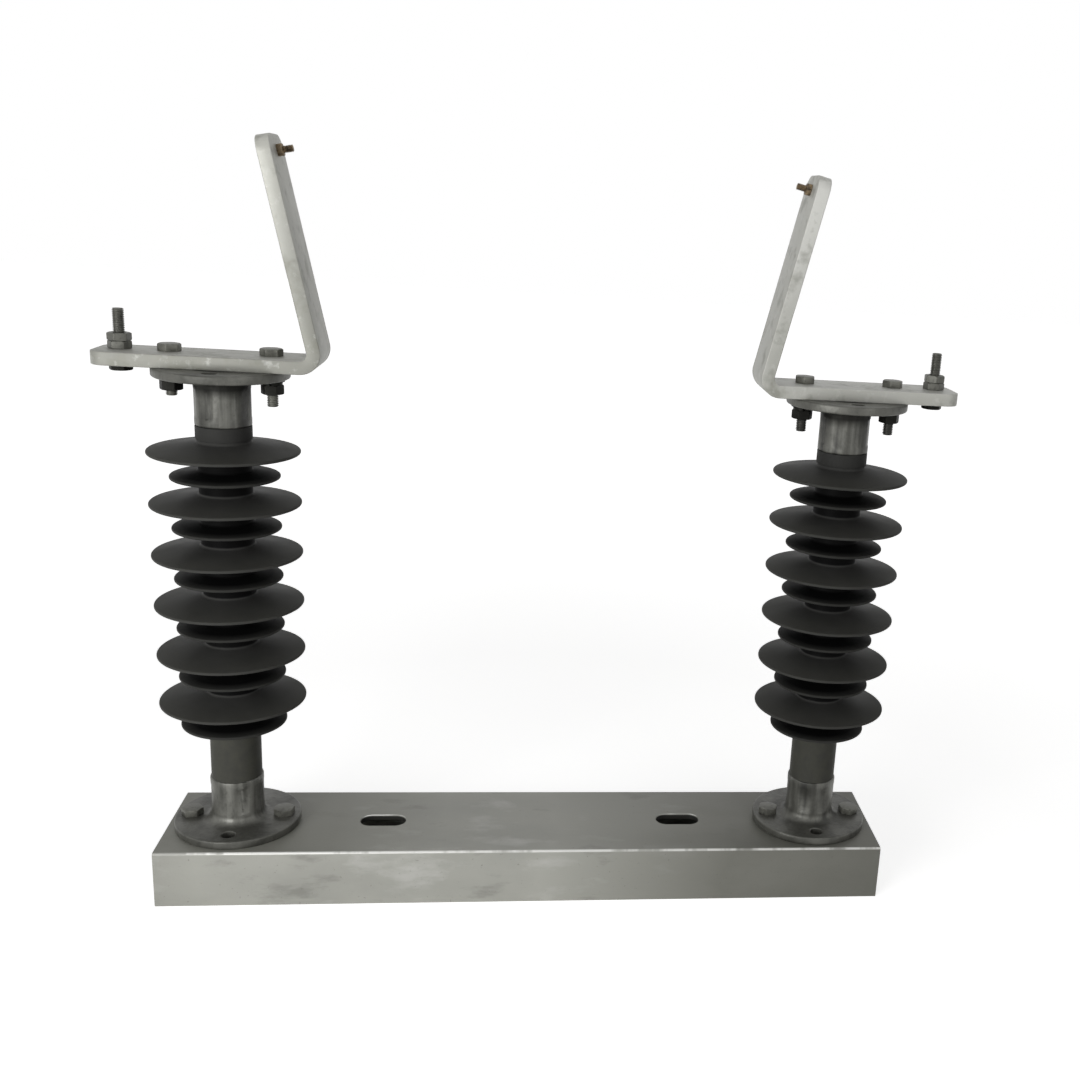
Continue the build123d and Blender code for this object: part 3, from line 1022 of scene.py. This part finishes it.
def threaded_shank(diameter, pitch, reach, tip):
    """Shank from just above level 0 down to its chamfered tip, with a real thread."""
    thread_depth, flank_end, crest_end, root_end = 0.613, 0.56, 0.69, 0.25
    crest = diameter / 2
    root = crest - thread_depth * pitch
    start = -reach - 2 * pitch
    tooth = [
        (root, start),
        (root, start + root_end * pitch),
        (crest, start + flank_end * pitch),
        (crest, start + crest_end * pitch),
        (root, start + pitch),
    ]
    piece = draw_outline(tooth, closed=False)
    go_to("OBJECT")
    apply(
        piece,
        "SCREW",
        screw_offset=pitch,
        iterations=ceil(reach / pitch) + 4,
        steps=THREAD_STEPS,
        render_steps=THREAD_STEPS,
        use_merge_vertices=True,
        merge_threshold=JOIN,
    )
    go_to("EDIT")
    pick_all()
    bpy.ops.mesh.remove_doubles(threshold=JOIN)
    pick_all()
    bpy.ops.mesh.fill_holes(sides=0)
    close_up()
    lead = 0.4 * MM
    wide = crest + lead
    outline = [(0, lead), (wide, lead), (wide, tip - reach), (crest - tip, -reach), (0, -reach)]
    form = draw_outline(outline, closed=False)
    turn_outline(form, ROUND_STEPS // 2)
    combine(piece, form, "INTERSECT")
    return piece


def bolt(reach, sizes):
    """Eight millimetre bolt: the head stands on level 0, the shank points down."""
    piece = bolt_head(sizes.across_flats, sizes.head, sizes)
    join(piece, threaded_shank(sizes.diameter, sizes.pitch, reach, sizes.tip))
    return piece


def hexagon_turn(node):
    """Angle of a corner of an upright hexagon, read from the node's own mesh."""
    middle = middle_of(node)
    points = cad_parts[node].data.vertices
    corner = max(points, key=lambda point: (point.co - middle).xy.length)
    return atan2(corner.co.y - middle.y, corner.co.x - middle.x)


def seat_of(node, level):
    """Matrix that stands a hexagon on a level in its node's place, turned as the node's own."""
    place = middle_of(node)
    place.z = level
    return upright(place, hexagon_turn(node))


def flange_nodes(kind):
    """Nodes of the bolts or the nuts that hold the flanges, in the order of making."""
    return [
        f"{side}_{level}_{kind}_{place}"
        for side in SIDES for place in PLACES for level in ("base", "arm")
    ]


class FUSE_OT_model_flange_bolts(bpy.types.Operator):
    """Models the bolts and nuts that hold the insulators and the arms"""

    bl_idname = "fuse.model_flange_bolts"
    bl_label = "Model the flange bolts"

    def execute(self, context):
        sizes = context.scene.fuse_fastener
        lengths = {}
        for node in flange_nodes("bolt"):
            reach = round((height_of(node) - sizes.head) / MM, 1) * MM
            lengths.setdefault(reach, []).append(node)
        for reach, nodes in lengths.items():
            pattern = bolt(reach, sizes)
            for node in nodes:
                seat = seat_of(node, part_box(node)[1].z - sizes.head)
                stand_in(pattern, seat, node, "fastener")
            discard(pattern)
        height = height_of("left_base_nut_outer")
        pattern = nut(sizes.across_flats, height, sizes.diameter, sizes)
        for node in flange_nodes("nut"):
            stand_in(pattern, seat_of(node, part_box(node)[0].z), node, "fastener")
        discard(pattern)
        return {"FINISHED"}


class FUSE_OT_model_terminals(bpy.types.Operator):
    """Models the terminal studs with their nuts and lock nuts"""

    bl_idname = "fuse.model_terminals"
    bl_label = "Model the terminals"

    def execute(self, context):
        sizes = context.scene.fuse_fastener
        stud = bolt(height_of("left_terminal_bolt") - sizes.head, sizes)
        thin_nut = nut(sizes.across_flats, height_of("left_terminal_nut"), sizes.diameter, sizes)
        for side in SIDES:
            node = f"{side}_terminal_bolt"
            seat = seat_of(node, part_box(node)[0].z + sizes.head)
            stand_in(stud, seat @ OVER, node, "fastener")
            for node in (f"{side}_terminal_nut", f"{side}_terminal_lock_nut"):
                stand_in(thin_nut, seat_of(node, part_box(node)[0].z), node, "fastener")
        discard(stud, thin_nut)
        return {"FINISHED"}


class FUSE_OT_model_clamps(bpy.types.Operator):
    """Models the small bolt and nut near each tip"""

    bl_idname = "fuse.model_clamps"
    bl_label = "Model the fuse clamps"

    def execute(self, context):
        sizes = context.scene.fuse_fastener
        across_flats, diameter = sizes.clamp_across_flats, sizes.clamp_diameter
        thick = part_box("right_terminal_nut")[0].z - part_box("right_horn_bar")[0].z
        small_bolt = bolt_head(across_flats, sizes.clamp_head, sizes)
        shank = threaded_shank(diameter, sizes.clamp_pitch, sizes.clamp_length, sizes.clamp_tip)
        join(small_bolt, shank)
        small_nut = nut(across_flats, sizes.clamp_nut, diameter, sizes)
        for side, sign in SIDES.items():
            seat = clamp_matrix(context, sign) @ Matrix.Rotation(pi / 2, 4, "Z")
            stand_in(small_bolt, seat, f"{side}_tip_bolt", "clamp")
            behind = seat @ Matrix.Translation((0, 0, -thick - sizes.clamp_nut))
            stand_in(small_nut, behind, f"{side}_tip_nut", "clamp")
        discard(small_bolt, small_nut)
        return {"FINISHED"}


class FUSE_OT_finish_nodes(bpy.types.Operator):
    """Gives the nodes that stay as they are their finish"""

    bl_idname = "fuse.finish_nodes"
    bl_label = "Finish the rods and washers"

    def execute(self, context):
        slots = {"core_rod": "rod"}
        for ending in ("base_washers", "arm_washers", "arm_spring_washers"):
            slots[ending] = "fastener"
        for side in SIDES:
            for ending, slot in slots.items():
                for material_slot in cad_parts[f"{side}_{ending}"].material_slots:
                    material_slot.material = finish_for(slot)
        return {"FINISHED"}


# Stage

FLOOR_SIZE = 12.0
FLOOR_LEVEL = -0.2 * MM
SENSOR_WIDTH = 36.0
NEAREST = 0.01

# Place, target and size of each lamp, in metres
LAMPS = {
    "front": ((-0.75, -1.0, 0.38), (-0.12, 0, 0.12), (0.7, 0.5)),
    "top": ((0, -0.35, 1.45), (0, 0, 0.25), (1.2, 1.0)),
    "side": ((0.8, -1.2, 0.7), (0.2, 0, 0.3), (0.8, 0.8)),
}


def add_light(name, place, target, size, power):
    """Large soft light that points at a target."""
    bpy.ops.object.light_add(type="AREA", location=place)
    lamp = bpy.context.object
    lamp.name = name
    lamp.rotation_euler = (Vector(target) - Vector(place)).to_track_quat("-Z", "Y").to_euler()
    lamp.data.shape = "RECTANGLE"
    lamp.data.size, lamp.data.size_y = size
    lamp.data.energy = power


def floor_paper(settings):
    """Pale paper that the camera sees lifted to white, with the shadows still on it."""
    look = Finish("floor_paper")
    look.tone = tuple(settings.floor_colour)
    look.patch(look.noise(3, 3.0), *MOST, 0.04, shade(225, 0.0))
    look.set(Base_Color=look.tone, Roughness=0.9)
    distance = look.add("ShaderNodeVectorMath", {"operation": "LENGTH"}, Vector=look.place)
    lift = look.spread(distance.outputs["Value"], 0.5, 1.4, 0.78, 1.0)
    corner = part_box("base_channel")[1]
    beside = look.math("GREATER_THAN", look.off("Y"), corner.y - MM)
    beyond = look.math("GREATER_THAN", look.off("X"), corner.x - MM)
    lift = look.times(lift, look.math("MAXIMUM", beside, beyond), look.seen())
    look.set(Emission_Color=WHITE, Emission_Strength=lift)
    return look.material


def soft_room(settings):
    """Even light from all round, seen as plain white."""
    world = bpy.data.worlds.new("soft_room")
    graph = Graph(world)
    back = graph.nodes["Background"].inputs
    graph.fill(back["Color"], WHITE)
    graph.fill(back["Strength"], graph.spread(graph.seen(), 0.0, 1.0, settings.sky_level, 1.0))
    return world


class FUSE_OT_set_stage(bpy.types.Operator):
    """Sets up the pale floor, the soft light and the photograph's camera"""

    bl_idname = "fuse.set_stage"
    bl_label = "Set the stage"

    def execute(self, context):
        settings = context.scene.fuse_stage
        bpy.ops.mesh.primitive_plane_add(size=FLOOR_SIZE, location=(0, 0, FLOOR_LEVEL))
        floor = context.object
        floor.name = "floor"
        paint(floor, floor_paper(settings))
        context.scene.world = soft_room(settings)
        for name, (place, target, size) in LAMPS.items():
            add_light(name, place, target, size, getattr(settings, f"{name}_power"))
        bpy.ops.object.camera_add(location=settings.camera_place, rotation=settings.camera_turn)
        camera = context.object
        camera.data.lens = settings.lens
        camera.data.sensor_width = SENSOR_WIDTH
        camera.data.shift_x, camera.data.shift_y = settings.shift
        camera.data.clip_start = NEAREST
        context.scene.camera = camera
        context.scene.view_settings.view_transform = "Standard"
        return {"FINISHED"}


class FUSE_PT_panel(bpy.types.Panel):
    """Lists the steps in the sidebar"""

    bl_label = "Horn Gap Fuse"
    bl_space_type = "VIEW_3D"
    bl_region_type = "UI"
    bl_category = "Horn Gap Fuse"

    def draw(self, context):
        for step in OPERATORS:
            self.layout.operator(step.bl_idname)


SETTINGS = {
    "fuse_channel": ChannelSettings,
    "fuse_fitting": FittingSettings,
    "fuse_housing": HousingSettings,
    "fuse_bar": BarSettings,
    "fuse_fastener": FastenerSettings,
    "fuse_stage": StageSettings,
}
OPERATORS = (
    FUSE_OT_model_channel,
    FUSE_OT_model_fittings,
    FUSE_OT_model_housings,
    FUSE_OT_model_bars,
    FUSE_OT_model_flange_bolts,
    FUSE_OT_model_terminals,
    FUSE_OT_model_clamps,
    FUSE_OT_finish_nodes,
    FUSE_OT_set_stage,
)
CLASSES = (*SETTINGS.values(), *OPERATORS, FUSE_PT_panel)


def register():
    for cls in CLASSES:
        bpy.utils.register_class(cls)
    for name, group in SETTINGS.items():
        setattr(bpy.types.Scene, name, bpy.props.PointerProperty(type=group))


def unregister():
    for name in SETTINGS:
        delattr(bpy.types.Scene, name)
    for cls in reversed(CLASSES):
        bpy.utils.unregister_class(cls)


def main():
    register()
    bpy.ops.fuse.model_channel()
    bpy.ops.fuse.model_fittings()
    bpy.ops.fuse.model_housings()
    bpy.ops.fuse.model_bars()
    bpy.ops.fuse.model_flange_bolts()
    bpy.ops.fuse.model_terminals()
    bpy.ops.fuse.model_clamps()
    bpy.ops.fuse.finish_nodes()
    bpy.ops.fuse.set_stage()


if __name__ == "__main__":
    main()
